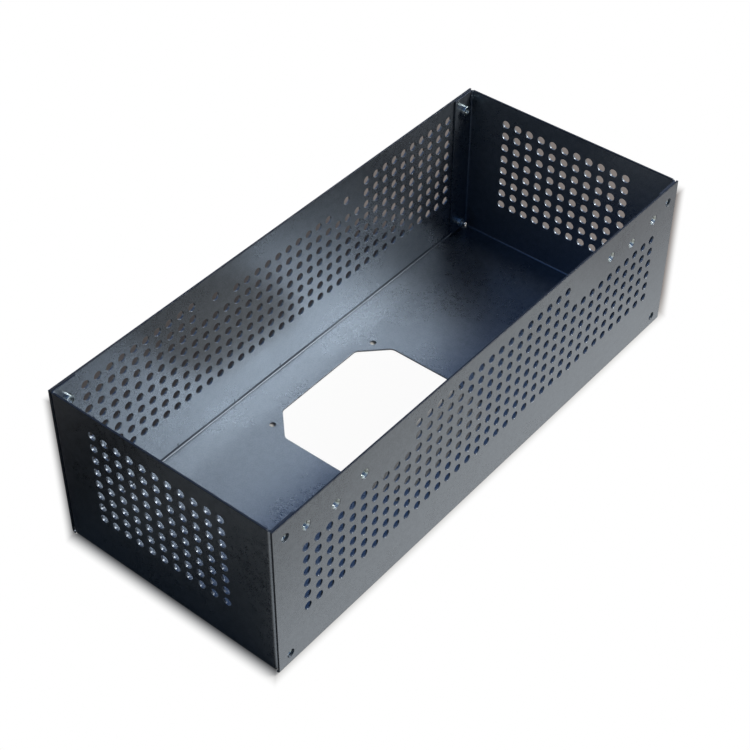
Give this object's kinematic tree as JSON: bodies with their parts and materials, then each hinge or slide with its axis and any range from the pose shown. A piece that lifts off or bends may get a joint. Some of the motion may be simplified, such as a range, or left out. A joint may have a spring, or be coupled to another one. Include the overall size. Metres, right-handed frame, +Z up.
{
  "type": "sheet metal chassis",
  "caption": "Open rectangular folded steel chassis with perforated walls, an octagonal fan opening in the floor and pressed-in threaded nuts at its corners and along the front rim.",
  "frame": {"origin": "middle of the underside", "axes": "+X along the length to the right-hand end, -Y towards the front wall that carries the nuts, +Z up to the open rim"},
  "size_m": [0.4024, 0.1724, 0.1212],
  "materials": {
    "painted_sheet": "satin dark grey powder coat",
    "zinc_steel": "bright zinc plated"
  },
  "bodies": {
    "root": {"chassis_sheet": "painted_sheet", "front_nut_left_outer": "zinc_steel", "front_nut_left_middle": "zinc_steel", "front_nut_left_inner": "zinc_steel", "front_nut_right_outer": "zinc_steel", "front_nut_right_middle": "zinc_steel", "front_nut_right_inner": "zinc_steel", "corner_nut_front_left_top": "zinc_steel", "corner_nut_front_left_bottom": "zinc_steel", "corner_nut_front_right_top": "zinc_steel", "corner_nut_front_right_bottom": "zinc_steel", "corner_nut_back_left_top": "zinc_steel", "corner_nut_back_left_bottom": "zinc_steel", "corner_nut_back_right_top": "zinc_steel", "corner_nut_back_right_bottom": "zinc_steel"}
  },
  "joints": []
}
